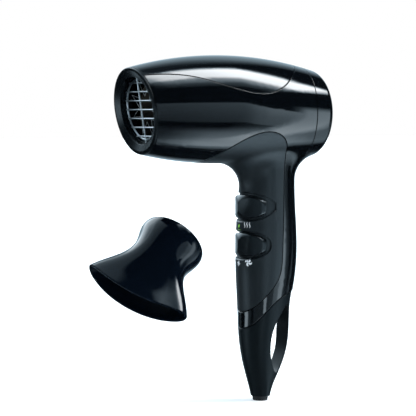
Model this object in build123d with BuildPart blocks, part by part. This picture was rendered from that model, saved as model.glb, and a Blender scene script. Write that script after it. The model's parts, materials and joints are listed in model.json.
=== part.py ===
from build123d import *
import os
from math import copysign, cos, pi, radians, sin, sqrt

# A compact travel hair dryer with a clip-on styling nozzle.  Millimetres, +Z up, air leaves towards -X,
# the origin is the middle of the grip.

os.makedirs("parts", exist_ok=True)

# --- driving dimensions: casing -------------------------------------------------------------------
WALL = 2.2                 # thickness of the moulded casings
SEAM = 0.5                 # open parting groove between neighbouring casings
REAR_X = 36.2              # flat rear face of the barrel
REAR_RIM = 6.0             # rounding of the rear rim
PARTING_X = 20.4           # foremost point of the rear cap's curved parting line
CROWN_X = -36.0            # where the barrel is fattest
TOP_CROWN_Z = 118.2
BOTTOM_CROWN_Z = 46.8
TOP_ARC = 266.0            # side-view arc of the barrel's top line
FRONT_BELLY_ARC = 285.0    # side-view arcs of its bottom line
REAR_BELLY_ARC = 600.0
NECK_FILLET = 18.0         # barrel into handle

# handle sections: height, front, widest place, back (all X), half width
HANDLE_SECTIONS = [
    (70.0, -19.3, -3.0, 20.2, 16.8),
    (27.0, -19.3, -3.0, 20.2, 16.8),
    (4.0, -21.2, -3.0, 21.4, 17.5),
    (-20.0, -21.7, -3.5, 21.5, 17.5),
    (-42.0, -20.8, -5.0, 18.2, 16.2),
    (-66.0, -20.4, -7.0, 15.2, 13.6),
]
TAIL_SECTIONS = [
    (-36.0, -21.1, -4.6, 19.2, 16.6),
    (-52.0, -20.5, -6.0, 16.4, 15.0),
    (-68.0, -19.9, -7.0, 16.2, 13.2),
    (-84.0, -17.8, -6.8, 13.2, 11.2),
    (-97.0, -14.6, -5.4, 7.0, 9.2),
    (-110.0, -11.2, -4.2, 1.4, 7.2),
]
TAIL_END_Z = TAIL_SECTIONS[-1][0]

# edge of the grip cover seen from the side, from the front of the barrel down to the tail
GRIP_EDGE = [
    (-60.0, 45.5), (-46.3, 55.3), (-31.0, 64.6), (-16.0, 67.6), (-3.4, 62.8), (3.2, 52.0), (3.8, 36.0),
    (2.8, 10.0), (1.8, -12.0), (-0.6, -29.0), (-9.5, -40.8), (-18.3, -50.6), (-23.0, -54.6), (-32.0, -57.0),
]

# --- driving dimensions: mouth and nozzle ---------------------------------------------------------
MOUTH_CENTRE = Vector(-100.2, 0.0, 81.3)
MOUTH_TILT = 9.2           # the mouth looks forward and slightly down
SOCKET_RADIUS = 22.1
SOCKET_DEPTH = 5.0
RING_LAND = 1.2            # how much of the barrel's front end the mouth ring forms
FUNNEL_RADIUS = 26.4       # the mouth ring leads in from here to the socket
FUNNEL_DEPTH = 1.8
SOCKET_WALL_END = 4.6      # the nozzle seats down to here, then comes a relief groove
GRILLE_POCKET_RADIUS = 21.5
GRILLE_WIRE = 0.75
GRILLE_PITCH = 5.8
NOZZLE_SPIGOT_RADIUS = 21.95
NOZZLE_WALL = 1.8
NOZZLE_AXIS = Vector(-0.7098, -0.2994, -0.6377)
NOZZLE_WIDE = Vector(0.6512, -0.6240, -0.4319)
NOZZLE_COLLAR = Vector(-67.4, 8.0, -4.2)
# nozzle sections: distance from the collar, half width, half thickness, squareness
NOZZLE_SECTIONS = [
    (0.0, NOZZLE_SPIGOT_RADIUS, NOZZLE_SPIGOT_RADIUS, 1.0),
    (8.0, 21.7, 21.4, 1.0),
    (19.5, 19.9, 17.4, 0.97),
    (32.0, 25.4, 12.8, 0.9),
    (45.0, 34.6, 10.8, 0.82),
    (60.0, 43.6, 10.0, 0.76),
]
NOZZLE_LIP_CENTRE = 56.0   # the slot's edge bulges forward between its two ends
NOZZLE_LIP_ENDS = 46.0
NOZZLE_HALF_SLOT = 38.0

# --- driving dimensions: switches -----------------------------------------------------------------
PIVOT_X = -3.0
PIVOT_RADIUS = 1.5
KNOB_HEIGHTS = {"heat": 17.6, "speed": -7.7}
KNOB_HALF_HEIGHT = 7.9
KNOB_INNER_RADIUS = 16.45
KNOB_HALF_ANGLE = 60.0
KNOB_PROFILE_ANGLE = 66.0
KNOB_SEEN_RADIUS = 18.3    # pivot to the skin of a knob where its outline is drawn
KNOB_CREST = 19.8          # pivot to the crest of a knob
KNOB_EDGE_RADIUS = 17.6    # pivot to a knob's upper and lower edge
KNOB_ROUNDING = 0.9
DISH_HALF_HEIGHT = 9.5
DISH_HALF_ANGLE = 77.0
DISH_SEEN_RADIUS = 17.6
DISH_FLOOR = (15.4, 16.2)  # half axes of the dish floor along X and Y
DISH_CHAMFER = 0.7
KNOB_BLUNTNESS = 0.27      # 0 is an ellipse, more gives rounder ends
DISH_BLUNTNESS = 0.14
PAD_RADIUS = 13.4          # inside of the thickened wall behind the dishes

# --- driving dimensions: air path -----------------------------------------------------------------
AIR_Z = 81.8
FAN_FRONT, FAN_REAR = 0.0, 13.0
FAN_RADIUS = 26.0
DUCT_RADIUS = 28.4
MOTOR_FRONT, MOTOR_REAR = -28.0, -4.0
MOTOR_RADIUS = 12.0
SHAFT_RADIUS = 1.0
SLEEVE_RADIUS = 21.6
HEATER_FRONT, HEATER_REAR = -85.0, -40.0
COIL_RADIUS = 15.6
COIL_WIRE = 0.8
COIL_PITCH = 6.0
COIL_FRONT, COIL_REAR = -77.5, -47.4

# --- driving dimensions: fasteners and cord inlet -------------------------------------------------
SCREW_PLACES = [(-78.0, 56.0), (9.0, 42.0), (6.5, -32.5)]
SCREW_RADIUS = 1.45
SCREW_HEAD_RADIUS = 2.8
SCREW_SEAT_Y = 9.0
CORD_RADIUS = 3.05
GLAND_RADIUS = 4.2
CORD_X = -4.9

OVAL_STEPS = 24
TILT = radians(MOUTH_TILT)
MOUTH = Plane(origin=MOUTH_CENTRE, x_dir=(0, 1, 0), z_dir=(-cos(TILT), 0, -sin(TILT)))


def save(builder, name):
    """Label one finished piece and write its STEP file."""
    part = builder.part
    part.label = name
    export_step(part, f"parts/{name}.step")


def blunt_oval(half_width, half_height, squareness):
    """Points round an oval that is blunter than an ellipse, as a pair of shares of its half axes."""
    points = []
    for step in range(OVAL_STEPS):
        turn = 2 * pi * (step + 0.5) / OVAL_STEPS
        run = copysign(abs(cos(turn))**squareness, cos(turn))
        rise = copysign(abs(sin(turn))**squareness, sin(turn))
        points.append((half_width * run, half_height * rise))
    return points


def wrapped_oval(middle, half_angle, half_height, radius, bluntness):
    """An oval drawn round the handle and seen from the front: its angle turns into a width."""
    points = []
    for step in range(OVAL_STEPS):
        turn = 2 * pi * (step + 0.5) / OVAL_STEPS
        angle = radians(half_angle) * cos(turn) * (1 + bluntness * sin(turn)**2)
        points.append((radius * sin(angle), middle + half_height * sin(turn)))
    return points


def oval_prism(outline, depth):
    """A prism along X that has the outline, from in front of the handle towards the rear."""
    with BuildPart() as prism:
        with BuildSketch(Plane.YZ.offset(-40)):
            with BuildLine():
                Spline(*outline, periodic=True)
            make_face()
        extrude(amount=depth)
    return prism.part


# --- outer form -----------------------------------------------------------------------------------
def across(x, z):
    """An upright plane across the barrel, facing the rear."""
    return Plane(origin=(x, 0, z), x_dir=(0, 1, 0), z_dir=(1, 0, 0))


def barrel_top(x):
    return TOP_CROWN_Z - TOP_ARC + sqrt(TOP_ARC**2 - (x - CROWN_X)**2)


def barrel_bottom(x):
    arc = FRONT_BELLY_ARC if x < CROWN_X else REAR_BELLY_ARC
    return BOTTOM_CROWN_Z + arc - sqrt(arc**2 - (x - CROWN_X)**2)


def barrel_middle(x):
    return (barrel_top(x) + barrel_bottom(x)) / 2


def barrel_radius(x):
    return (barrel_top(x) - barrel_bottom(x)) / 2


def barrel_form(inset):
    """The barrel as a solid of round sections, drawn in by the inset."""
    stations = (-112.0, -82.0, -52.0, -22.0, 8.0, REAR_X - inset)
    with BuildPart() as form:
        for x in stations:
            with BuildSketch(across(x, barrel_middle(x))):
                Circle(barrel_radius(x) - inset)
        loft()
        fillet(form.faces().sort_by(Axis.X)[-1].edges(), REAR_RIM - inset * 0.8)
    return form.part


def egg_form(sections, inset):
    """A stack of egg-shaped sections, two half ellipses each."""
    with BuildPart() as form:
        for height, front, widest, back, half_width in sections:
            with BuildSketch(Plane.XY.offset(height)):
                side = half_width - inset
                with BuildLine():
                    EllipticalCenterArc((widest, 0), widest - front - inset, side, 90, arc_size=180)
                    EllipticalCenterArc((widest, 0), back - widest - inset, side, -90, arc_size=180)
                make_face()
        loft()
    return form.part


def is_neck_edge(edge):
    box = edge.bounding_box()
    return 42 < box.min.Z and box.max.Z < 66 and box.size.Z < 16 and -30 < box.min.X and box.max.X < 30


def body_form(inset):
    """Barrel and handle in one, blended at the neck."""
    with BuildPart() as form:
        add(barrel_form(inset))
        add(egg_form(HANDLE_SECTIONS, inset))
        fillet(form.edges().filter_by(is_neck_edge), NECK_FILLET + inset)
    return form.part


# --- side-view cutters, each a prism right through the object along Y ------------------------------
def side_prism(outline):
    with BuildPart() as prism:
        with BuildSketch(Plane.XZ):
            add(outline)
        extrude(amount=60, both=True)
    return prism.part


def set_aside(points, gap):
    """The same points, each moved sideways off the line they form."""
    aside = []
    for before, point, after in zip(points[:1] + points[:-1], points, points[1:] + points[-1:]):
        run = sqrt((after[0] - before[0])**2 + (after[1] - before[1])**2)
        shift_x = -gap * (after[1] - before[1]) / run
        shift_z = gap * (after[0] - before[0]) / run
        aside.append((point[0] + shift_x, point[1] + shift_z))
    return aside


def grip_outline(gap):
    """Everything in front of the grip cover's edge."""
    with BuildSketch() as outline:
        with BuildLine():
            edge = Spline(*set_aside(GRIP_EDGE, gap))
            Polyline(edge @ 1, (-90, (edge @ 1).Y), (-90, (edge @ 0).Y), edge @ 0)
        make_face()
    return outline.sketch


def tail_outline():
    """Everything below the tail's parting line."""
    with BuildSketch() as outline:
        with BuildLine():
            edge = Spline((-30, -66), (-19.4, -63.6), (-10.7, -54.3), (0.2, -44.6), (10.5, -40.4),
                          (30, -41.2))
            Polyline(edge @ 1, (30, -130), (-30, -130), edge @ 0)
        make_face()
    return outline.sketch


def panel_outline():
    """Everything above the top panel's leaf-shaped edge."""
    with BuildSketch() as outline:
        with BuildLine():
            edge = Spline(
                (-116, 102.6), (-103, 104.2), (-88, 104.9), (-72, 103.6), (-55, 99.4), (-38, 94.9),
                (-25, 93.0),
                (-12.4, 94.9), (-2, 100), (6.6, 106.6), (12.6, 110.6), (19, 117),
            )
            Polyline(edge @ 1, (19, 130), (-116, 130), edge @ 0)
        make_face()
    return outline.sketch


def rear_outline(shift):
    """Everything behind the rear cap's parting line."""
    middle_z = barrel_middle(PARTING_X)
    with BuildSketch() as outline:
        with BuildLine():
            line = ThreePointArc(
                (27.0 + shift, middle_z - 45), (PARTING_X + shift, middle_z), (27.0 + shift, middle_z + 45)
            )
            Polyline(line @ 1, (60, middle_z + 45), (60, middle_z - 45), line @ 0)
        make_face()
    return outline.sketch


def front_slab(depth):
    """All that lies in front of a plane behind the mouth."""
    with BuildPart() as slab:
        with BuildSketch(MOUTH.offset(-depth)):
            Rectangle(160, 160)
        extrude(amount=60)
    return slab.part


AIR = across(0, AIR_Z)
OUTER = body_form(0)
INNER = body_form(WALL)
GRIP_CUT = side_prism(grip_outline(0))
TAIL_CUT = side_prism(tail_outline())
PANEL_CUT = side_prism(panel_outline())
GRIP_CUT_WIDE = side_prism(grip_outline(SEAM))
TAIL_CUT_WIDE = Pos(-SEAM, 0, SEAM) * TAIL_CUT
PANEL_CUT_WIDE = Pos(SEAM, 0, -SEAM) * PANEL_CUT
PANEL_THICKNESS = 1.1


# --- casings --------------------------------------------------------------------------------------
def screw_posts():
    """Posts across the casing, one for each housing screw."""
    with BuildPart() as posts:
        for x, z in SCREW_PLACES:
            with Locations((x, 0, z)):
                Cylinder(3.3, 70, rotation=(90, 0, 0))
        add(OUTER, mode=Mode.INTERSECT)
    return posts.part


def panel_recess():
    """The shallow bed in the barrel that the top panel is let into."""
    with BuildPart() as recess:
        add(barrel_form(-2.0))
        add(barrel_form(PANEL_THICKNESS + 0.15), mode=Mode.SUBTRACT)
        add(PANEL_CUT_WIDE, mode=Mode.INTERSECT)
    return recess.part


def housing():
    """Both housing halves still in one, with screw posts, before the split."""
    with BuildPart() as shell:
        add(OUTER)
        add(INNER, mode=Mode.SUBTRACT)
        add(screw_posts())
        add(GRIP_CUT_WIDE, mode=Mode.SUBTRACT)
        add(TAIL_CUT_WIDE, mode=Mode.SUBTRACT)
        add(side_prism(rear_outline(-SEAM)), mode=Mode.SUBTRACT)
        add(front_slab(RING_LAND + SEAM), mode=Mode.SUBTRACT)
        add(panel_recess(), mode=Mode.SUBTRACT)
    return shell.part


def screw_holes():
    """Pilot holes on the left, clearance holes and head recesses on the right."""
    with BuildPart() as holes:
        for x, z in SCREW_PLACES:
            with Locations((x, -SCREW_SEAT_Y / 2, z)):
                Cylinder(SCREW_RADIUS + 0.05, SCREW_SEAT_Y + 0.5, rotation=(90, 0, 0))
            with Locations((x, SCREW_SEAT_Y / 2, z)):
                Cylinder(SCREW_RADIUS + 0.3, SCREW_SEAT_Y + 1, rotation=(90, 0, 0))
            with Locations((x, SCREW_SEAT_Y + 15, z)):
                Cylinder(SCREW_HEAD_RADIUS + 0.2, 30, rotation=(90, 0, 0))
    return holes.part


SHELL = housing()
SCREW_HOLES = screw_holes()
for name, reach in (("housing_left", 60), ("housing_right", -60)):
    with BuildPart() as half:
        with BuildSketch(Plane.XZ):
            Rectangle(300, 300)
        extrude(amount=reach)
        add(SHELL, mode=Mode.INTERSECT)
        add(SCREW_HOLES, mode=Mode.SUBTRACT)
    save(half, name)

with BuildPart() as top_panel:
    add(barrel_form(0))
    add(barrel_form(PANEL_THICKNESS), mode=Mode.SUBTRACT)
    add(PANEL_CUT, mode=Mode.INTERSECT)
    add(front_slab(RING_LAND + SEAM), mode=Mode.SUBTRACT)
save(top_panel, "top_panel")


def dish_cutter(height):
    """The oval finger dish around one knob, with a curved floor."""
    with BuildPart() as dish:
        outline = wrapped_oval(height, DISH_HALF_ANGLE, DISH_HALF_HEIGHT, DISH_SEEN_RADIUS, DISH_BLUNTNESS)
        add(oval_prism(outline, 40 + PIVOT_X))
        with BuildSketch(Plane.XY.offset(height - 20)):
            with Locations((PIVOT_X, 0)):
                Ellipse(*DISH_FLOOR)
        extrude(amount=40, mode=Mode.SUBTRACT)
    return dish.part


def dish_pad():
    """Extra wall behind the finger dishes."""
    with BuildPart() as pad:
        with BuildSketch(Plane.XY.offset(KNOB_HEIGHTS["speed"] - 12)):
            with Locations((-25, 0)):
                Rectangle(40, 60)
            with Locations((PIVOT_X, 0)):
                Circle(PAD_RADIUS, mode=Mode.SUBTRACT)
        extrude(amount=KNOB_HEIGHTS["heat"] - KNOB_HEIGHTS["speed"] + 25)
        add(OUTER, mode=Mode.INTERSECT)
    return pad.part


def is_dish_rim(edge):
    """An edge of a finger dish on the outside of the grip."""
    outside = True
    for share in (0.1, 0.3, 0.5, 0.7, 0.9):
        spot = edge @ share
        floor_share = ((spot.X - PIVOT_X) / DISH_FLOOR[0])**2 + (spot.Y / DISH_FLOOR[1])**2
        outside = outside and floor_share > 1.04 and spot.X < -5.5 and -18 < spot.Z < 28
    return outside


with BuildPart() as grip_cover:
    add(OUTER)
    add(INNER, mode=Mode.SUBTRACT)
    add(dish_pad())
    add(GRIP_CUT, mode=Mode.INTERSECT)
    for height in KNOB_HEIGHTS.values():
        add(dish_cutter(height), mode=Mode.SUBTRACT)
    chamfer(grip_cover.edges().filter_by(is_dish_rim), DISH_CHAMFER)
    for height in KNOB_HEIGHTS.values():
        with Locations((PIVOT_X - 14, 0, height)):
            Box(12, 15.5, 8.0, mode=Mode.SUBTRACT)
save(grip_cover, "grip_cover")


def mouth_disc(radius, depth, height):
    """A disc on the mouth's own axis, its far face at the given depth."""
    with BuildPart() as disc:
        with BuildSketch(MOUTH.offset(-depth)):
            Circle(radius)
        extrude(amount=height)
    return disc.part


def mouth_funnel():
    """The lead-in of the mouth, a cone that ends at the socket."""
    with BuildPart() as funnel:
        with BuildSketch(MOUTH):
            Circle(FUNNEL_RADIUS)
        with BuildSketch(MOUTH.offset(-FUNNEL_DEPTH)):
            Circle(SOCKET_RADIUS)
        loft()
    return funnel.part


with BuildPart() as mouth_ring:
    add(barrel_form(0))
    add(mouth_disc(40, RING_LAND, RING_LAND), mode=Mode.INTERSECT)
    fillet(mouth_ring.faces().sort_by(Axis(MOUTH_CENTRE, MOUTH.z_dir))[-1].edges(), 0.8)
    add(mouth_disc(SOCKET_RADIUS + 3.0, RING_LAND + 2.2, 3.0))
    add(mouth_disc(SOCKET_RADIUS + 1.8, 10, 9.0))
    add(mouth_funnel(), mode=Mode.SUBTRACT)
    add(mouth_disc(SOCKET_RADIUS, SOCKET_WALL_END, 30), mode=Mode.SUBTRACT)
    add(mouth_disc(SOCKET_RADIUS + 0.5, SOCKET_WALL_END + 0.3, 0.3), mode=Mode.SUBTRACT)
    add(mouth_disc(GRILLE_POCKET_RADIUS, SOCKET_DEPTH + 2 * GRILLE_WIRE, 3), mode=Mode.SUBTRACT)
    add(mouth_disc(SOCKET_RADIUS - 1.4, 12, 30), mode=Mode.SUBTRACT)
save(mouth_ring, "mouth_ring")

with BuildPart(MOUTH.offset(-SOCKET_DEPTH - GRILLE_WIRE)) as outlet_grille:
    Torus(SOCKET_RADIUS - 2.6, GRILLE_WIRE * 0.9)
    for row in range(-3, 4):
        reach = sqrt((SOCKET_RADIUS - 1.2)**2 - (row * GRILLE_PITCH)**2)
        with Locations((0, row * GRILLE_PITCH, 0.3)):
            Cylinder(GRILLE_WIRE * 0.75, 2 * reach, rotation=(0, 90, 0))
    with Locations((0, 0, 0.45)):
        Cylinder(GRILLE_WIRE * 0.8, 2 * SOCKET_RADIUS - 1.4, rotation=(90, 0, 0))
save(outlet_grille, "outlet_grille")

with BuildPart() as rear_cap:
    add(OUTER)
    add(INNER, mode=Mode.SUBTRACT)
    add(side_prism(rear_outline(0)), mode=Mode.INTERSECT)
    lip_radius = barrel_radius(PARTING_X) - WALL - 0.5
    with BuildSketch(across(16, barrel_middle(PARTING_X))):
        Circle(lip_radius)
        Circle(lip_radius - 1.5, mode=Mode.SUBTRACT)
    extrude(amount=13)
    with BuildSketch(across(REAR_X - 8, barrel_middle(REAR_X))):
        for radius in (5.0, 9.6, 14.2, 18.8):
            Circle(radius + 1.25)
            Circle(radius - 1.25, mode=Mode.SUBTRACT)
        with PolarLocations(0, 3):
            Rectangle(50, 2.2, mode=Mode.SUBTRACT)
    extrude(amount=20, mode=Mode.SUBTRACT)
save(rear_cap, "rear_cap")

with BuildPart() as intake_mesh:
    with BuildSketch(across(REAR_X - WALL - 1.0, barrel_middle(REAR_X))):
        Circle(23.0)
        with GridLocations(3.2, 3.2, 13, 13):
            Rectangle(2.3, 2.3, mode=Mode.SUBTRACT)
        Circle(23.0)
        Circle(21.6, mode=Mode.SUBTRACT)
    extrude(amount=0.9)
save(intake_mesh, "intake_mesh")


# --- tail with hanging loop -----------------------------------------------------------------------
def cord_channel():
    """The slanted channel that leads the cord up past the hanging loop."""
    with BuildPart() as channel:
        with BuildLine() as path:
            Line((CORD_X, 0, TAIL_END_Z + 11), (-11.8, 0, -62))
        with BuildSketch(Plane(origin=path.line @ 0, z_dir=path.line % 0)):
            Circle(3.4)
        sweep()
    return channel.part


with BuildPart() as handle_tail:
    add(egg_form(TAIL_SECTIONS, 0))
    add(TAIL_CUT, mode=Mode.INTERSECT)
    with BuildSketch(Plane.XZ):
        with BuildLine():
            Spline((8.8, -47.8), (1.0, -57.5), (-3.4, -68), (-4.0, -77), (-2.2, -86.5), (3.2, -94.6),
                   (8.3, -87.0), (11.6, -76), (12.7, -64), (12.2, -52.5), periodic=True)
        make_face()
    extrude(amount=40, both=True, mode=Mode.SUBTRACT)
    with Locations((CORD_X, 0, TAIL_END_Z)):
        Cylinder(GLAND_RADIUS + 0.05, 24, mode=Mode.SUBTRACT)
    add(cord_channel(), mode=Mode.SUBTRACT)
    with BuildSketch(Plane.XY.offset(-63)):
        with Locations((-11.2, 0)):
            Ellipse(7.2, 9.8)
    extrude(amount=40, mode=Mode.SUBTRACT)
save(handle_tail, "handle_tail")

with BuildPart() as cord_gland:
    with BuildSketch(Plane.XZ):
        with BuildLine():
            Polyline(
                (CORD_X + CORD_RADIUS, TAIL_END_Z + 11.6), (CORD_X + GLAND_RADIUS, TAIL_END_Z + 11.6),
                (CORD_X + GLAND_RADIUS, TAIL_END_Z), (CORD_X + 5.4, TAIL_END_Z),
                (CORD_X + 5.0, TAIL_END_Z - 3.0),
                (CORD_X + CORD_RADIUS, TAIL_END_Z - 3.0), close=True,
            )
        make_face()
    revolve(axis=Axis((CORD_X, 0, 0), (0, 0, 1)))
save(cord_gland, "cord_gland")


# --- nozzle ---------------------------------------------------------------------------------------
def nozzle_plane(distance):
    return Plane(origin=NOZZLE_COLLAR + NOZZLE_AXIS * distance, x_dir=NOZZLE_WIDE, z_dir=NOZZLE_AXIS)


def nozzle_form(inset):
    with BuildPart() as form:
        for distance, half_width, half_thickness, squareness in NOZZLE_SECTIONS:
            with BuildSketch(nozzle_plane(distance)):
                outline = blunt_oval(half_width - inset, half_thickness - inset, squareness)
                with BuildLine():
                    Spline(*outline, periodic=True)
                make_face()
        loft()
    return form.part


with BuildPart() as nozzle:
    add(nozzle_form(0))
    add(nozzle_form(NOZZLE_WALL), mode=Mode.SUBTRACT)
    with BuildSketch(Plane(origin=NOZZLE_COLLAR, x_dir=NOZZLE_WIDE, z_dir=NOZZLE_WIDE.cross(NOZZLE_AXIS))):
        with BuildLine():
            lip = ThreePointArc((-NOZZLE_HALF_SLOT - 12, NOZZLE_LIP_ENDS - 6.7), (0, NOZZLE_LIP_CENTRE),
                                (NOZZLE_HALF_SLOT + 12, NOZZLE_LIP_ENDS - 6.7))
            Polyline(lip @ 1, (NOZZLE_HALF_SLOT + 12, 80), (-NOZZLE_HALF_SLOT - 12, 80), lip @ 0)
        make_face()
    extrude(amount=40, both=True, mode=Mode.SUBTRACT)
save(nozzle, "nozzle")


# --- switches -------------------------------------------------------------------------------------
def knob_profile():
    """Plan view of a knob: a crest in front and a shallow finger hollow on each side."""
    crest = [(0, KNOB_CREST), (13, 18.75), (30, 18.55), (46, 18.5), (KNOB_PROFILE_ANGLE, 17.8)]
    points = [(PIVOT_X - r * cos(radians(a)), r * sin(radians(a))) for a, r in crest]
    mirrored = [(x, -y) for x, y in reversed(points)]
    end_angle = radians(KNOB_PROFILE_ANGLE)
    inner_end = (PIVOT_X - KNOB_INNER_RADIUS * cos(end_angle), KNOB_INNER_RADIUS * sin(end_angle))
    with BuildSketch() as profile:
        with BuildLine():
            near = Spline(*points)
            far = Spline(*mirrored)
            ThreePointArc(inner_end, (PIVOT_X - KNOB_INNER_RADIUS, 0), (inner_end[0], -inner_end[1]))
            Line(near @ 1, inner_end)
            Line(far @ 0, (inner_end[0], -inner_end[1]))
        make_face()
    return profile.sketch


def knob_crown(height):
    """A turned form about the pivot that bows a knob from top to bottom."""
    low, high = height - KNOB_HALF_HEIGHT, height + KNOB_HALF_HEIGHT
    with BuildPart() as crown:
        with BuildSketch(Plane.XZ):
            with BuildLine():
                bow = ThreePointArc((PIVOT_X - KNOB_EDGE_RADIUS, high), (PIVOT_X - KNOB_CREST, height),
                                    (PIVOT_X - KNOB_EDGE_RADIUS, low))
                Polyline(bow @ 1, (PIVOT_X, low), (PIVOT_X, high), bow @ 0)
            make_face()
        revolve(axis=Axis((PIVOT_X, 0, 0), (0, 0, 1)))
    return crown.part


def is_knob_rim(edge):
    """An edge on the outside of a knob."""
    outside = True
    for share in (0.1, 0.5, 0.9):
        spot = edge @ share
        outside = outside and (spot.X - PIVOT_X)**2 + spot.Y**2 > (KNOB_INNER_RADIUS + 0.45)**2
    return outside


for use, height in KNOB_HEIGHTS.items():
    with BuildPart() as knob:
        with BuildSketch(Plane.XY.offset(height - KNOB_HALF_HEIGHT)):
            add(knob_profile())
        extrude(amount=2 * KNOB_HALF_HEIGHT)
        outline = wrapped_oval(height, KNOB_HALF_ANGLE, KNOB_HALF_HEIGHT, KNOB_SEEN_RADIUS, KNOB_BLUNTNESS)
        add(oval_prism(outline, 40), mode=Mode.INTERSECT)
        add(knob_crown(height), mode=Mode.INTERSECT)
        fillet(knob.edges().filter_by(is_knob_rim), KNOB_ROUNDING)
        with Locations((PIVOT_X - 9.2, 0, height)):
            Box(14.8, 5.4, 6.0)
        with Locations((PIVOT_X, 0, height)):
            Cylinder(4.0, 6.6)
        with Locations((PIVOT_X + 6.1, 0, height)):
            Box(6.2, 2.4, 3.0)
        with Locations((PIVOT_X, 0, height)):
            Cylinder(PIVOT_RADIUS + 0.05, 20, mode=Mode.SUBTRACT)
    save(knob, f"{use}_knob")

    with BuildPart() as slider:
        with Locations((6.6, 0, height)):
            Box(4.8, 8.0, 5.0)
        with Locations((5.6, 0, height)):
            Box(2.8, 3.4, 6.0, mode=Mode.SUBTRACT)
        with Locations((10.8, 0, height)):
            Box(3.6, 3.0, 3.0)
    save(slider, f"{use}_switch_slider")

    with BuildPart() as switch:
        with Locations((12.0, 0, height)):
            Box(5.0, 16.0, 10.0)
        with Locations((11.4, 0, height)):
            Box(3.9, 7.4, 3.8, mode=Mode.SUBTRACT)
        for terminal in (-4.5, 0, 4.5):
            with Locations((12.4, terminal, height - 6.2)):
                Box(0.6, 2.0, 3.0)
    save(switch, f"{use}_switch_body")

with BuildPart() as switch_frame:
    with Locations((15.2, 0, 4.5)):
        Box(1.2, 12.0, 57.0)
    for lug in (31.0, 5.0, -21.5):
        with Locations((4.4, 0, lug)):
            Box(22.0, 9.0, 2.4)
    with Locations((PIVOT_X, 0, 5.0)):
        Cylinder(PIVOT_RADIUS, 70, mode=Mode.SUBTRACT)
save(switch_frame, "switch_frame")

with BuildPart() as knob_pivot_pin:
    with Locations((PIVOT_X, 0, 4.75)):
        Cylinder(PIVOT_RADIUS, 57.5)
    chamfer(knob_pivot_pin.edges().filter_by(GeomType.CIRCLE), 0.4)
save(knob_pivot_pin, "knob_pivot_pin")


# --- fan and motor --------------------------------------------------------------------------------
def tube(outer_radius, inner_radius, front, rear):
    """A straight tube on the air axis."""
    with BuildPart() as piece:
        with BuildSketch(AIR.offset(front)):
            Circle(outer_radius)
            Circle(inner_radius, mode=Mode.SUBTRACT)
        extrude(amount=rear - front)
    return piece.part


def rod(radius, front, rear):
    """A straight rod on the air axis."""
    with BuildPart() as piece:
        with BuildSketch(AIR.offset(front)):
            Circle(radius)
        extrude(amount=rear - front)
    return piece.part


def radial_plates(count, inner_radius, outer_radius, thickness, chord, pitch, middle_x):
    """Flat plates standing around the air axis, each turned about its own radius."""
    with BuildPart(AIR.offset(middle_x)) as plates:
        with PolarLocations((inner_radius + outer_radius) / 2, count):
            Box(outer_radius - inner_radius, thickness, chord, rotation=(pitch, 0, 0))
    return plates.part


with BuildPart() as fan_impeller:
    add(rod(9.0, FAN_FRONT, FAN_REAR))
    add(radial_plates(7, 7.8, FAN_RADIUS + 1, 1.4, 16.0, 38, (FAN_FRONT + FAN_REAR) / 2))
    add(rod(FAN_RADIUS, FAN_FRONT, FAN_REAR), mode=Mode.INTERSECT)
    add(rod(SHAFT_RADIUS, FAN_FRONT, FAN_REAR - 1.5), mode=Mode.SUBTRACT)
save(fan_impeller, "fan_impeller")

CRADLE_RADIUS = MOTOR_RADIUS + 1.2
with BuildPart() as fan_duct:
    with BuildSketch(Plane.XZ):
        with BuildLine():
            Polyline(
                (FAN_REAR, AIR_Z + DUCT_RADIUS), (-30, AIR_Z + DUCT_RADIUS),
                (-37, AIR_Z + SLEEVE_RADIUS + 1.6),
                (-44, AIR_Z + SLEEVE_RADIUS + 1.6), (-44, AIR_Z + SLEEVE_RADIUS + 0.1),
                (-36.2, AIR_Z + SLEEVE_RADIUS + 0.1), (-29.2, AIR_Z + DUCT_RADIUS - 1.5),
                (FAN_REAR, AIR_Z + DUCT_RADIUS - 1.5), close=True,
            )
        make_face()
    revolve(axis=Axis((0, 0, AIR_Z), (1, 0, 0)))
    add(radial_plates(6, CRADLE_RADIUS + 0.7, DUCT_RADIUS - 0.7, 1.4, 15.0, -12, -13))
    add(tube(CRADLE_RADIUS + 1.4, CRADLE_RADIUS, -22, -4))
save(fan_duct, "fan_duct")

with BuildPart() as motor_mount_ring:
    add(tube(CRADLE_RADIUS, MOTOR_RADIUS, -21, -5))
save(motor_mount_ring, "motor_mount_ring")

with BuildPart() as motor_can:
    add(rod(MOTOR_RADIUS, MOTOR_FRONT + 3, MOTOR_REAR))
    add(rod(MOTOR_RADIUS - 0.8, MOTOR_FRONT + 3, MOTOR_REAR - 1), mode=Mode.SUBTRACT)
    add(rod(2.2, MOTOR_REAR - 1, MOTOR_REAR + 1.6))
    add(rod(1.6, -30, 10), mode=Mode.SUBTRACT)
save(motor_can, "motor_can")

with BuildPart() as motor_end_cap:
    add(rod(MOTOR_RADIUS, MOTOR_FRONT, MOTOR_FRONT + 3))
    add(rod(MOTOR_RADIUS - 0.9, MOTOR_FRONT + 3, MOTOR_FRONT + 4.5))
    add(rod(9.0, MOTOR_FRONT + 2, MOTOR_FRONT + 8), mode=Mode.SUBTRACT)
    add(rod(1.6, -40, 10), mode=Mode.SUBTRACT)
save(motor_end_cap, "motor_end_cap")

with BuildPart() as motor_bushes:
    for front, rear in ((MOTOR_FRONT, MOTOR_FRONT + 2.0), (MOTOR_REAR - 1.0, MOTOR_REAR + 1.6)):
        add(tube(1.6, SHAFT_RADIUS + 0.03, front, rear))
save(motor_bushes, "motor_bushes")

with BuildPart() as motor_magnets:
    add(tube(MOTOR_RADIUS - 0.8, 9.3, -22, -6))
    add(radial_plates(2, -1, 20, 7.0, 30.0, 0, -14), mode=Mode.SUBTRACT)
save(motor_magnets, "motor_magnets")

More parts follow.
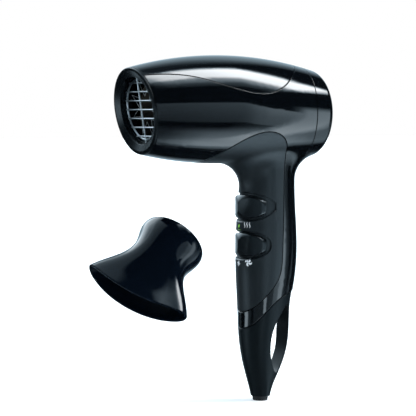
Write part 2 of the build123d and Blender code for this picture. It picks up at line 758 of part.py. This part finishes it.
with BuildPart() as motor_armature:
    add(rod(8.8, -20, -8))
    add(radial_plates(5, 5.0, 10.0, 1.2, 30.0, 0, -14), mode=Mode.SUBTRACT)
    add(rod(2.8, -25.6, -20))
    add(rod(SHAFT_RADIUS, -40, 0), mode=Mode.SUBTRACT)
save(motor_armature, "motor_armature")

with BuildPart() as motor_shaft:
    add(rod(SHAFT_RADIUS, MOTOR_FRONT - 0.5, FAN_REAR - 1.5))
save(motor_shaft, "motor_shaft")

with BuildPart(AIR.offset(-23.2)) as motor_brushes:
    with Locations((0, 5.2, 0), (0, -5.2, 0)):
        Box(2.4, 4.2, 2.6)
save(motor_brushes, "motor_brushes")

with BuildPart(AIR.offset(MOTOR_FRONT - 1.6)) as rectifier_board:
    Cylinder(10.5, 1.2, align=(Align.CENTER, Align.CENTER, Align.MIN))
    Cylinder(2.2, 10, mode=Mode.SUBTRACT)
save(rectifier_board, "rectifier_board")

with BuildPart(AIR.offset(MOTOR_FRONT - 3.0)) as rectifier_diodes:
    with Locations((-6, 4, 0), (6, 4, 0), (-6, -4, 0), (6, -4, 0)):
        Cylinder(1.4, 5.0, rotation=(90, 0, 0))
save(rectifier_diodes, "rectifier_diodes")


# --- heater ---------------------------------------------------------------------------------------
HEATER_LENGTH = HEATER_REAR - HEATER_FRONT
BOARD_THICKNESS = 0.9
BOARD_TAB = 5.0

with BuildPart() as heater_sleeve:
    add(tube(SLEEVE_RADIUS, SLEEVE_RADIUS - 0.7, HEATER_FRONT, HEATER_REAR))
save(heater_sleeve, "heater_sleeve")


def mica_board(plane, slot_front, slot_rear):
    """An I-shaped mica board: end tabs bear on the sleeve, the waist carries the coil."""
    tab_width = 2 * (SLEEVE_RADIUS - 0.8)
    waist_width = 2 * (COIL_RADIUS - COIL_WIRE - 0.1)
    with BuildPart() as board:
        with BuildSketch(plane):
            with Locations(((HEATER_FRONT + HEATER_REAR) / 2, 0)):
                Rectangle(HEATER_LENGTH, waist_width)
            for x in (HEATER_FRONT + BOARD_TAB / 2, HEATER_REAR - BOARD_TAB / 2):
                with Locations((x, 0)):
                    Rectangle(BOARD_TAB, tab_width)
            with Locations(((slot_front + slot_rear) / 2, 0)):
                Rectangle(slot_rear - slot_front + 0.1, BOARD_THICKNESS + 0.1, mode=Mode.SUBTRACT)
        extrude(amount=BOARD_THICKNESS / 2, both=True)
    return board


HALFWAY = (HEATER_FRONT + HEATER_REAR) / 2
UPRIGHT = Plane(origin=(0, 0, AIR_Z), x_dir=(1, 0, 0), z_dir=(0, -1, 0))
FLAT = Plane(origin=(0, 0, AIR_Z), x_dir=(1, 0, 0), z_dir=(0, 0, 1))
save(mica_board(UPRIGHT, HEATER_FRONT, HALFWAY), "heater_board_upright")
save(mica_board(FLAT, HALFWAY, HEATER_REAR), "heater_board_flat")

with BuildPart() as heater_coil:
    with BuildLine() as winding:
        Helix(COIL_PITCH, COIL_REAR - COIL_FRONT, COIL_RADIUS, center=(COIL_FRONT, 0, AIR_Z),
              direction=(1, 0, 0))
    with BuildSketch(Plane(origin=winding.line @ 0, z_dir=winding.line % 0)):
        Circle(COIL_WIRE)
    sweep()
save(heater_coil, "heater_coil")

with BuildPart(AIR.offset(-52)) as thermostat:
    with Locations((7.0, 2.6, 0)):
        Box(8.0, 4.0, 7.0)
    with Locations((7.0, 4.8, -3.0)):
        Box(3.0, 0.5, 16.0)
save(thermostat, "thermostat")

with BuildPart(AIR.offset(-52)) as thermal_fuse:
    with Locations((-7.0, -2.6, 0)):
        Cylinder(1.7, 9.0)
        Cylinder(0.5, 22.0)
save(thermal_fuse, "thermal_fuse")


# --- wiring, clamp and screws ---------------------------------------------------------------------
with BuildPart() as cord_clamp:
    with Locations((-11.5, 0, -58.5)):
        Box(4.0, 12.6, 3.0)
    with Locations((-11.5, 0, -61.2)):
        Box(3.6, 4.0, 2.6, mode=Mode.SUBTRACT)
save(cord_clamp, "cord_clamp")

with BuildPart() as terminal_block:
    with Locations((-9.5, 0, -46)):
        Box(7.0, 13.0, 8.0)
    for y in (-3.4, 3.4):
        with Locations((-9.5, y, -46)):
            Cylinder(1.7, 20, mode=Mode.SUBTRACT)
save(terminal_block, "terminal_block")

with BuildPart() as capacitor:
    with Locations((13.6, 0, -31)):
        Box(4.0, 9.0, 8.0)
save(capacitor, "capacitor")

with BuildPart() as housing_screws:
    for x, z in SCREW_PLACES:
        with Locations((x, SCREW_SEAT_Y + 1.1, z)):
            Cylinder(SCREW_HEAD_RADIUS, 2.2, rotation=(90, 0, 0))
        with Locations((x, 0.25, z)):
            Cylinder(SCREW_RADIUS, 2 * SCREW_SEAT_Y - 0.5, rotation=(90, 0, 0))
save(housing_screws, "housing_screws")


def wire(points, radius):
    """A round wire along straight runs with rounded corners."""
    with BuildPart() as piece:
        with BuildLine() as path:
            FilletPolyline(*points, radius=2.4)
        with BuildSketch(Plane(origin=path.line @ 0, z_dir=path.line % 0)):
            Circle(radius)
        sweep()
    return piece.part


with BuildPart() as supply_wires:
    for side in (-1, 1):
        add(wire([(-9.5, 3.4 * side, -44), (-9.5, 3.4 * side, -33), (0.5, 5.5 * side, -26.5),
                  (9.0, 11.0 * side, -24), (9.0, 11.0 * side, -10)], 0.8))
save(supply_wires, "supply_wires")

with BuildPart() as heater_wires:
    for side in (-1, 1):
        add(wire([(14.2, 5.6 * side, 34), (14.2, 5.6 * side, 48), (5, 9 * side, 52.2),
                  (-36, 9 * side, 52.2),
                  (-50, 9 * side, 55), (-60, 9 * side, 61.3)], 0.8))
save(heater_wires, "heater_wires")
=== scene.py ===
import bpy
import json
from math import cos, pi, radians, sin, sqrt
from mathutils import Matrix, Vector
from mathutils.bvhtree import BVHTree


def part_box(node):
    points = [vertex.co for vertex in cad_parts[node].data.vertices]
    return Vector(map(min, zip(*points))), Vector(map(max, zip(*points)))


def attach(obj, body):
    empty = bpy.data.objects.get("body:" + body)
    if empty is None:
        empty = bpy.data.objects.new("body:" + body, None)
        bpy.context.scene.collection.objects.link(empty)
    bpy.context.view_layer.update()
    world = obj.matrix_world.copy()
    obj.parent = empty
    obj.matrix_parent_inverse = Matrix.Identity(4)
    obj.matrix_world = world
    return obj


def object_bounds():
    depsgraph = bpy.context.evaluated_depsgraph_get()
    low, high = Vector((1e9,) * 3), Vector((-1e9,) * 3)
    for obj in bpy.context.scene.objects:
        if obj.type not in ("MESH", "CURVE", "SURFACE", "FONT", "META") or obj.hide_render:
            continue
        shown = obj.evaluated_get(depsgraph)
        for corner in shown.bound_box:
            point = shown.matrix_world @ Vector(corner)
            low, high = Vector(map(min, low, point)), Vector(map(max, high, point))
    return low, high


# A compact travel hair dryer and its parked styling nozzle.  Everything is in metres, in the CAD frame: the
# barrel blows towards -X, its left side faces -Y, and the handle hangs along -Z.

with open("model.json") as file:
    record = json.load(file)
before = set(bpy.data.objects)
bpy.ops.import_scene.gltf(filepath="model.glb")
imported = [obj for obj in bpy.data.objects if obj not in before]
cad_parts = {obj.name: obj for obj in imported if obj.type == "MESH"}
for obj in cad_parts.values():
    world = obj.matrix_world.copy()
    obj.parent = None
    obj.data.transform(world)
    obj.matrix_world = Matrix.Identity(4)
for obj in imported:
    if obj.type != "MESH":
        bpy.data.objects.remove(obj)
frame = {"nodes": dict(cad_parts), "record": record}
cad_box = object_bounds()
MM = 0.001
WHITE = (1.0, 1.0, 1.0, 1.0)

# --- camera: in front of the left side, a little towards the outlet and three degrees up -----------
AZIMUTH = radians(30)
ELEVATION = radians(3)
DISTANCE = 1.1647
TARGET = Vector((-0.0455, 0.0, 0.0175))
LENS_MM = 152.7
SENSOR_MM = 36.0
CLIP_NEAR = 0.01
CLIP_FAR = 50.0

back = Vector((-sin(AZIMUTH) * cos(ELEVATION), -cos(AZIMUTH) * cos(ELEVATION), sin(ELEVATION)))
right = Vector((cos(AZIMUTH), -sin(AZIMUTH), 0.0))
up = back.cross(right)

camera_data = bpy.data.cameras.new("camera")
camera_data.lens = LENS_MM
camera_data.sensor_width = SENSOR_MM
camera_data.clip_start = CLIP_NEAR
camera_data.clip_end = CLIP_FAR
camera = bpy.data.objects.new("camera", camera_data)
bpy.context.scene.collection.objects.link(camera)
camera_place = Matrix((right, up, back)).transposed().to_4x4()
camera_place.translation = TARGET + back * DISTANCE
camera.matrix_world = camera_place
bpy.context.scene.camera = camera
bpy.context.scene.view_settings.view_transform = "Standard"


# --- helpers: node trees and meshes ---------------------------------------------------------------
class Tree:
    """Short names for the node calls that every material and the world use."""

    def __init__(self, owner):
        owner.use_nodes = True
        self.tree = owner.node_tree
        self.tree.nodes.clear()

    def node(self, kind, **inputs):
        made = self.tree.nodes.new(kind)
        for name, value in inputs.items():
            self.put(made.inputs[name.replace("_", " ")], value)
        return made

    def put(self, socket, value):
        if isinstance(value, bpy.types.NodeSocket):
            self.tree.links.new(value, socket)
        else:
            socket.default_value = value

    def math(self, operation, *values):
        made = self.tree.nodes.new("ShaderNodeMath")
        made.operation = operation
        for socket, value in zip(made.inputs, values):
            self.put(socket, value)
        return made.outputs[0]

    def combine(self, operation, values):
        """All the values added or multiplied, one after the other."""
        total = values[0]
        for value in values[1:]:
            total = self.math(operation, total, value)
        return total

    def curve(self, value, points):
        """A piecewise linear curve through (position, level) pairs."""
        pieces = []
        for (x0, y0), (x1, y1) in zip(points, points[1:]):
            made = self.tree.nodes.new("ShaderNodeMapRange")
            for socket, given in zip(made.inputs, (value, x0, x1, 0.0, y1 - y0)):
                self.put(socket, given)
            pieces.append(made.outputs[0])
        return self.combine("ADD", pieces + [points[0][1]])

    def noise(self, where, scale, detail=3.0):
        made = self.node("ShaderNodeTexNoise", Vector=where, Scale=scale, Detail=detail, Roughness=0.55)
        return made.outputs[0]

    def mix(self, factor, first, second):
        made = self.tree.nodes.new("ShaderNodeMix")
        made.data_type = "RGBA"
        for index, value in ((0, factor), (6, first), (7, second)):
            self.put(made.inputs[index], value)
        return made.outputs[2]


def mesh_object(name, verts, faces, material):
    """A mesh object from points and faces."""
    mesh = bpy.data.meshes.new(name)
    mesh.from_pydata([tuple(v) for v in verts], [], faces)
    mesh.update()
    mesh.materials.append(material)
    made = bpy.data.objects.new(name, mesh)
    bpy.context.scene.collection.objects.link(made)
    return made


# --- materials ------------------------------------------------------------------------------------
BEVEL_SAMPLES = 6
RELIEF_DEPTH = 0.03 * MM
RELIEF_DETAIL = 2.0
WEAR_GRAIN = 0.35                    # the roughness changes in patches this much coarser than the colour's
COOL = (0.85, 0.95, 1.0, 1.0)        # the tint of the sheen on the soft coatings


def shade(rgb, factor):
    return (rgb[0] * factor, rgb[1] * factor, rgb[2] * factor, 1.0)


def surface(name, rgb, roughness, grain=1500, mottle=0.12, wear=0.05, bump=0.0, bump_grain=2500,
            metallic=0.0, specular=0.5, specular_tint=WHITE, edge=0.0):
    """A moulded, painted or metal surface.

    Its colour changes by the share mottle and its roughness by wear.  bump raises a fine relief, and edge is
    the radius by which its edges look rounded.
    """
    material = bpy.data.materials.new(name)
    tree = Tree(material)
    where = tree.node("ShaderNodeTexCoord").outputs["Object"]
    colour = tree.mix(tree.noise(where, grain), shade(rgb, 1.0 - mottle), shade(rgb, 1.0 + mottle))
    patches = tree.math("MULTIPLY", tree.noise(where, grain * WEAR_GRAIN), 2 * wear)
    rough = tree.math("ADD", patches, roughness - wear)
    shader = tree.node("ShaderNodeBsdfPrincipled", Base_Color=colour, Roughness=rough)
    shader.inputs["Metallic"].default_value = metallic
    shader.inputs["Specular IOR Level"].default_value = specular
    shader.inputs["Specular Tint"].default_value = specular_tint
    normal = None
    if edge:
        rounded = tree.node("ShaderNodeBevel", Radius=edge)
        rounded.samples = BEVEL_SAMPLES
        normal = rounded.outputs[0]
    if bump:
        height = tree.noise(where, bump_grain, RELIEF_DETAIL)
        relief = tree.node("ShaderNodeBump", Strength=bump, Distance=RELIEF_DEPTH, Height=height)
        if normal:
            tree.put(relief.inputs["Normal"], normal)
        normal = relief.outputs[0]
    if normal:
        tree.put(shader.inputs["Normal"], normal)
    tree.node("ShaderNodeOutputMaterial", Surface=shader.outputs[0])
    return material


POLISHED = dict(grain=60, mottle=0.10, wear=0.02)
COATED = dict(grain=1500, specular_tint=COOL)
LOOKS = {       # one look for each material slot of the record
    "gloss_black": dict(rgb=(0.0012, 0.0018, 0.0027), roughness=0.06, edge=0.4 * MM, **POLISHED),
    "panel_black": dict(rgb=(0.0012, 0.0018, 0.0027), roughness=0.055, edge=0.4 * MM, **POLISHED),
    "nozzle_black": dict(rgb=(0.0014, 0.0030, 0.0060), roughness=0.05,
                         specular=0.28, edge=0.5 * MM, **POLISHED),
    "soft_slate": dict(rgb=(0.0064, 0.0092, 0.0118), roughness=0.46, mottle=0.08, wear=0.04,
                       bump=0.35, bump_grain=5200, edge=0.6 * MM, **COATED),
    "satin_black": dict(rgb=(0.0015, 0.0024, 0.0034), roughness=0.26, mottle=0.10,
                        bump=0.12, specular=0.26, edge=0.6 * MM, **COATED),
    "tail_slate": dict(rgb=(0.0022, 0.0048, 0.0066), roughness=0.42, mottle=0.10,
                       bump=0.3, bump_grain=5200, specular=0.18, edge=0.9 * MM, **COATED),
    "knob_black": dict(rgb=(0.0030, 0.0046, 0.0062), roughness=0.30, mottle=0.10, wear=0.04,
                       bump=0.12, edge=0.6 * MM, **COATED),
    "grille_steel": dict(rgb=(0.62, 0.65, 0.68), roughness=0.30, grain=1200, wear=0.08,
                         bump=0.2, metallic=1.0),
    "dark_mesh": dict(rgb=(0.03, 0.03, 0.033), roughness=0.45, grain=2000, mottle=0.2, wear=0.08,
                      metallic=0.4),
    "soft_rubber": dict(rgb=(0.014, 0.015, 0.016), roughness=0.62, grain=1800, mottle=0.15, wear=0.06,
                        bump=0.3),
    # painted shade: the mica's own tan is darkened well below its real colour so that the heater deep inside
    # the barrel looks as dark as the shade there
    "mica": dict(rgb=(0.045, 0.040, 0.033), roughness=0.50, grain=700, mottle=0.30, wear=0.1,
                 bump=0.4, bump_grain=900),
    "heating_wire": dict(rgb=(0.16, 0.15, 0.145), roughness=0.42, grain=900, mottle=0.3, wear=0.1,
                         metallic=1.0),
    "motor_steel": dict(rgb=(0.52, 0.53, 0.54), roughness=0.32, grain=700, wear=0.08, metallic=1.0),
    "magnet_ferrite": dict(rgb=(0.07, 0.07, 0.072), roughness=0.55, mottle=0.2, wear=0.08, bump=0.3),
    "armature_core": dict(rgb=(0.34, 0.22, 0.12), roughness=0.40, grain=900, mottle=0.3, wear=0.1,
                          metallic=0.8),
    "shaft_steel": dict(rgb=(0.66, 0.66, 0.68), roughness=0.16, mottle=0.08, metallic=1.0),
    "bush_bronze": dict(rgb=(0.56, 0.38, 0.18), roughness=0.40, mottle=0.2, wear=0.08, metallic=1.0),
    "frame_nylon": dict(rgb=(0.50, 0.50, 0.47), roughness=0.48, mottle=0.06, bump=0.15),
    "fan_nylon": dict(rgb=(0.040, 0.040, 0.043), roughness=0.42, bump=0.15),
    "duct_nylon": dict(rgb=(0.055, 0.055, 0.058), roughness=0.50, bump=0.2),
    "switch_plastic": dict(rgb=(0.030, 0.030, 0.031), roughness=0.42),
    "board_brown": dict(rgb=(0.26, 0.14, 0.055), roughness=0.50, grain=1200, mottle=0.2, wear=0.06),
    "diode_black": dict(rgb=(0.012, 0.012, 0.013), roughness=0.32),
    "cap_blue": dict(rgb=(0.05, 0.13, 0.30), roughness=0.35, grain=1200, mottle=0.08),
    "screw_steel": dict(rgb=(0.46, 0.46, 0.48), roughness=0.28, grain=1200, wear=0.08, metallic=1.0),
    "wire_insulation": dict(rgb=(0.42, 0.42, 0.42), roughness=0.55, mottle=0.06),
    "thermostat_steel": dict(rgb=(0.56, 0.56, 0.53), roughness=0.34, grain=900, wear=0.08, metallic=1.0),
    "carbon": dict(rgb=(0.018, 0.018, 0.018), roughness=0.50, grain=2000, mottle=0.2, wear=0.08),
}
MATERIALS = {name: surface(name, **look) for name, look in LOOKS.items()}
for row in frame["record"]["subparts"]:
    for slot in frame["nodes"][row["node"]].material_slots:
        slot.material = MATERIALS[row["material_slot"]]

print_white = surface("print_white", (0.72, 0.75, 0.78), 0.45, grain=3000, mottle=0.05, wear=0.04)
print_green = surface("print_green", (0.22, 0.62, 0.03), 0.45, grain=3000, mottle=0.12, wear=0.04)
strand_wire = surface("strand_wire", (0.66, 0.68, 0.70), 0.42, grain=900, mottle=0.1, wear=0.06,
                      metallic=0.9)

# --- light: a white studio whose soft boxes show as bands in the gloss ----------------------------
AMBIENT = 0.015                         # the level between the soft boxes
BOX_LEVEL = 10.0                        # from this level on a soft box is as white as it gets
SHADE_TINT = (0.60, 0.84, 1.0, 1.0)
BOX_TINT = (0.91, 0.96, 1.0, 1.0)

world = bpy.data.worlds.new("studio")
bpy.context.scene.world = world
studio = Tree(world)
direction = studio.node("ShaderNodeTexCoord").outputs["Generated"]
dx, dy, dz = studio.node("ShaderNodeSeparateXYZ", Vector=direction).outputs
forward = studio.math("MULTIPLY", dy, -1.0)


def angle(operation, *values):
    """The result of an inverse trigonometric node, in degrees."""
    return studio.math("MULTIPLY", studio.math(operation, *values), 180.0 / pi)


pitch = angle("ARCTAN2", dz, forward)        # about the barrel: 0 in front, 90 above, -90 below
heading = angle("ARCTAN2", dx, forward)      # about the handle: 0 in front, 90 on the intake's side
lean = angle("ARCSINE", dx)                  # towards the intake's side
rise = angle("ARCSINE", dz)                  # above the horizontal
# The pitch, turned up towards the intake so that the bands follow the barrel's shoulder there.
skew = studio.curve(lean, [(30, 0.0), (36, 8.0), (46, 19.0), (60, 17.0), (80, 8.0)])
skewed = studio.math("ADD", pitch, skew)

# Each soft box is a product of curves, and each curve is an angle and its (degrees, level) pairs.  Left is the
# outlet's side and right the intake's.
SOFT_BOXES = {
    "overhead": (
        (skewed, (48, 0.0), (57, 1.1), (67, 6.0), (73, 19.0), (90, 19.0), (98, 0.8), (102, 0.0)),
        (lean, (4, 0.0), (10, 0.7), (30, 1.0)),
        (rise, (30, 0.0), (36, 1.0))),
    "overhead_left": (
        (pitch, (75, 0.0), (79, 0.9), (95, 1.3), (115, 2.2), (124, 4.5), (128, 0.0)),
        (lean, (-60, 0.4), (-8, 1.0), (3, 1.0), (12, 0.0))),
    "behind_left": (
        (pitch, (124, 0.0), (128, 5.5), (160, 5.5), (170, 0.0)),
        (lean, (-40, 0.0), (-20, 1.0), (0, 1.0), (10, 0.0))),
    "front": (
        (skewed, (-28, 0.0), (-26, 0.40), (13, 1.1), (15, 0.0)),
        (heading, (-10, 0.5), (10, 0.7), (30, 1.0), (38, 2.2), (44, 2.2), (47, 0.0))),
    "front_right": (
        (rise, (-60, 0.0), (-46, 0.8), (-30, 1.1), (-8, 1.0), (0, 0.9), (8, 0.0)),
        (heading, (44, 0.0), (48, 3.4), (56, 3.6), (62, 0.5), (74, 0.0))),
    "low_right": (
        (rise, (-85, 0.0), (-65, 1.2), (-34, 1.2), (-14, 0.0)),
        (heading, (30, 0.0), (45, 0.6), (88, 1.0), (98, 0.0))),
    "below": (
        (pitch, (-92, 0.0), (-86, 0.6), (-82, 3.0), (-74, 3.2), (-60, 2.0), (-50, 1.6), (-40, 0.3),
         (-36, 0.0)),
        (lean, (8, 0.15), (20, 1.0), (34, 1.0), (44, 0.15))),
    "front_strip": (
        (rise, (-24, 0.0), (-20, 1.0), (-6, 1.0), (-2, 0.0)),
        (heading, (-17, 0.0), (-11, 4.0), (-2, 4.0), (2, 0.0))),
    "left_strip": (
        (rise, (-24, 0.0), (-20, 1.0), (-6, 1.0), (-2, 0.0)),
        (heading, (-118, 0.0), (-112, 4.5), (-100, 4.5), (-92, 0.0))),
    "far_side": (
        (rise, (-42, 0.0), (-20, 1.0), (40, 1.0), (60, 0.1)),
        (heading, (118, 0.0), (136, 1.0))),
    "far_side_end": (
        (rise, (-42, 0.0), (-20, 1.0), (40, 1.0), (60, 0.1)),
        (heading, (-180, 1.0), (-166, 0.0))),
}
levels = [studio.combine("MULTIPLY", [studio.curve(of, pairs) for of, *pairs in curves])
          for curves in SOFT_BOXES.values()]
level = studio.combine("ADD", levels + [AMBIENT])
brightness = studio.math("MINIMUM", studio.math("MULTIPLY", level, 1.0 / BOX_LEVEL), 1.0)
light_tint = studio.mix(brightness, SHADE_TINT, BOX_TINT)
soft_boxes = studio.node("ShaderNodeBackground", Color=light_tint, Strength=level)
paper = studio.node("ShaderNodeBackground", Color=WHITE, Strength=1.0)
backdrop = studio.node("ShaderNodeMixShader")
seen_directly = studio.node("ShaderNodeLightPath").outputs["Is Camera Ray"]
for socket, value in zip(backdrop.inputs, (seen_directly, soft_boxes.outputs[0], paper.outputs[0])):
    studio.put(socket, value)
studio.node("ShaderNodeOutputWorld", Surface=backdrop.outputs[0])

# --- floor: pale, and left out of the gloss -------------------------------------------------------
FLOOR_HALF = 12.0
FLOOR_GAP = 0.2 * MM
FLOOR_GLOW = 0.35
FLOOR_GRAIN = 3.0
FLOOR_TONES = ((0.80, 0.80, 0.80, 1.0), (0.86, 0.86, 0.86, 1.0))
floor_paint = bpy.data.materials.new("floor_paint")
floor_tree = Tree(floor_paint)
floor_where = floor_tree.node("ShaderNodeTexCoord").outputs["Object"]
floor_tone = floor_tree.mix(floor_tree.noise(floor_where, FLOOR_GRAIN), *FLOOR_TONES)
floor_shader = floor_tree.node("ShaderNodeBsdfPrincipled", Base_Color=floor_tone, Roughness=0.9)
floor_shader.inputs["Specular IOR Level"].default_value = 0.0
floor_shader.inputs["Emission Color"].default_value = WHITE
floor_shader.inputs["Emission Strength"].default_value = FLOOR_GLOW
floor_tree.node("ShaderNodeOutputMaterial", Surface=floor_shader.outputs[0])
floor_z = cad_box[0][2] - FLOOR_GAP
corners = [(x * FLOOR_HALF, y * FLOOR_HALF, floor_z) for x, y in ((-1, -1), (1, -1), (1, 1), (-1, 1))]
floor = mesh_object("floor", corners, [(0, 1, 2, 3)], floor_paint)
floor.visible_glossy = False

# --- printed signs on the grip, drawn in millimetres ----------------------------------------------
PRINT_LIFT = 0.04 * MM
CAST_FROM = 30 * MM                  # how far from the knobs' pin the rays start that lay a sign on the grip


def named(rows, name):
    """The row of the record with that name."""
    return next(row for row in rows if row["name"] == name)


knob_pin = named(frame["record"]["behaviour"]["joints"], "heat_knob_turn")["pos_m"]
grip = frame["nodes"]["grip_cover"].data
grip_surface = BVHTree.FromPolygons([v.co.copy() for v in grip.vertices],
                                    [list(p.vertices) for p in grip.polygons])


def on_grip(turn, height, u, v):
    """The grip's surface at a sign's point: u across and v up, in metres."""
    outward = Vector((-cos(turn), -sin(turn), 0.0))
    across = Vector((-outward.y, outward.x, 0.0))
    start = Vector((knob_pin[0], knob_pin[1], height + v)) + outward * CAST_FROM + across * u
    hit, normal, _, _ = grip_surface.ray_cast(start, -outward, CAST_FROM)
    return hit + normal * PRINT_LIFT


def edges_of(points, half_widths):
    """Both edges of a stroke that runs through the points with the half widths given."""
    left_edge, right_edge = [], []
    for i, (x, y) in enumerate(points):
        x0, y0 = points[max(i - 1, 0)]
        x1, y1 = points[min(i + 1, len(points) - 1)]
        run = sqrt((x1 - x0)**2 + (y1 - y0)**2)
        nx, ny = -(y1 - y0) / run, (x1 - x0) / run
        left_edge.append((x + nx * half_widths[i], y + ny * half_widths[i]))
        right_edge.append((x - nx * half_widths[i], y - ny * half_widths[i]))
    return left_edge, right_edge


def sign(name, turn, knob, drop, strokes, material):
    """One printed sign, turn degrees round the pin from the grip's front and drop millimetres below a knob."""
    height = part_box(knob)[0][2] - drop * MM
    verts, faces = [], []
    for points, half_widths in strokes:
        first = len(verts)
        for pair in zip(*edges_of(points, half_widths)):
            verts += [on_grip(radians(turn), height, x * MM, y * MM) for x, y in pair]
        for n in range(first, len(verts) - 2, 2):
            faces.append((n, n + 1, n + 3, n + 2))
    made = mesh_object(name, verts, faces, material)
    for polygon in made.data.polygons:
        polygon.use_smooth = True
    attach(made, "dryer")


def heat_waves():
    """Three upright waves, thin at both ends."""
    spacing, height, lean_over, sway, steps = 2.0, 3.8, 0.10, 0.42, 18
    strokes = []
    for offset in (-spacing, 0.0, spacing):
        points, half_widths = [], []
        for i in range(steps + 1):
            t = i / steps
            y = height * (t - 0.5)
            points.append((offset + lean_over * y + sway * sin(2 * pi * t), y))
            half_widths.append(0.12 + 0.16 * sin(pi * t))
        strokes.append((points, half_widths))
    return strokes


def fan_blades(radius):
    """Four curved blades that widen towards the rim."""
    blades, start_angle, sweep_angle, steps = 4, 28, 62, 12
    strokes = []
    for blade in range(blades):
        points, half_widths = [], []
        for i in range(steps + 1):
            t = i / steps
            around = radians(360 / blades * blade + start_angle + sweep_angle * t)
            reach = radius * (0.10 + 0.86 * sqrt(t))
            points.append((reach * cos(around), reach * sin(around)))
            half_widths.append(radius * (0.06 + 0.17 * sin(pi * min(1.0, 0.15 + 0.8 * t))))
        strokes.append((points, half_widths))
    return strokes


def leaf():
    """A pointed leaf that leans to the right, and its stem."""
    steps = 12
    points, half_widths = [], []
    for i in range(steps + 1):
        t = i / steps
        points.append((-0.55 + 1.25 * t, -1.25 + 2.5 * t))
        half_widths.append(0.05 + 0.95 * sin(pi * t) * (1.15 - 0.35 * t))
    stem = [(-0.5 - 0.25 * k, -1.2 - 0.2 * k) for k in range(3)]
    return [(points, half_widths), (stem, [0.12, 0.12, 0.1])]


def level_bar():
    return [([(-1.3, 0.0), (-0.4, 0.0), (0.5, 0.0), (1.3, 0.0)], [0.12] * 4)]


sign("sign_heat_waves", 22.86, "heat_knob", 3.9, heat_waves(), print_white)
sign("sign_leaf", -2.82, "heat_knob", 4.8, leaf(), print_green)
sign("sign_leaf_bar", -1.88, "heat_knob", 7.3, level_bar(), print_green)
sign("sign_fan_high", 27.41, "speed_knob", 3.4, fan_blades(2.55), print_white)
sign("sign_fan_low", -0.93, "speed_knob", 4.4, fan_blades(1.65), print_white)

# --- crimped heating wire, seen deep inside the mouth ---------------------------------------------
STRAND_DEPTH = 5.4 * MM              # behind the middle of the outlet socket
STRAND_OUTER = 19.0 * MM
STRAND_INNER = 8.5 * MM
STRAND_RADIUS = 0.28 * MM
STRAND_FOLDS = 16
STRAND_TURN = 0.3                    # how far the first fold is turned on, in folds
TUBE_SIDES = 6
socket_mount = named(frame["record"]["mounts"], "outlet_socket")
mouth_axis = Vector(socket_mount["axis"])
mouth_up = Vector((mouth_axis.z, 0.0, -mouth_axis.x))
strand_middle = Vector(socket_mount["pos_m"]) - mouth_axis * STRAND_DEPTH


def closed_tube(points, radius):
    """Points and faces of a tube that runs through the points and back to the first."""
    verts, faces = [], []
    count = len(points)
    for i, point in enumerate(points):
        along = (points[(i + 1) % count] - points[i - 1]).normalized()
        first = along.cross(mouth_axis).normalized()
        second = along.cross(first)
        for k in range(TUBE_SIDES):
            around = 2 * pi * k / TUBE_SIDES
            verts.append(point + (first * cos(around) + second * sin(around)) * radius)
    for i in range(count):
        for k in range(TUBE_SIDES):
            a, b = i * TUBE_SIDES + k, i * TUBE_SIDES + (k + 1) % TUBE_SIDES
            c, d = (a + TUBE_SIDES) % (count * TUBE_SIDES), (b + TUBE_SIDES) % (count * TUBE_SIDES)
            faces.append((a, b, d, c))
    return verts, faces


strand_points = []
for i in range(STRAND_FOLDS):
    reach = STRAND_OUTER if i % 2 else STRAND_INNER
    around = 2 * pi * (i + STRAND_TURN) / STRAND_FOLDS
    sideways = Vector((0, reach * cos(around), 0))
    strand_points.append(strand_middle + sideways + mouth_up * (reach * sin(around)))
strands = mesh_object("heater_strands", *closed_tube(strand_points, STRAND_RADIUS), strand_wire)
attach(strands, "dryer")
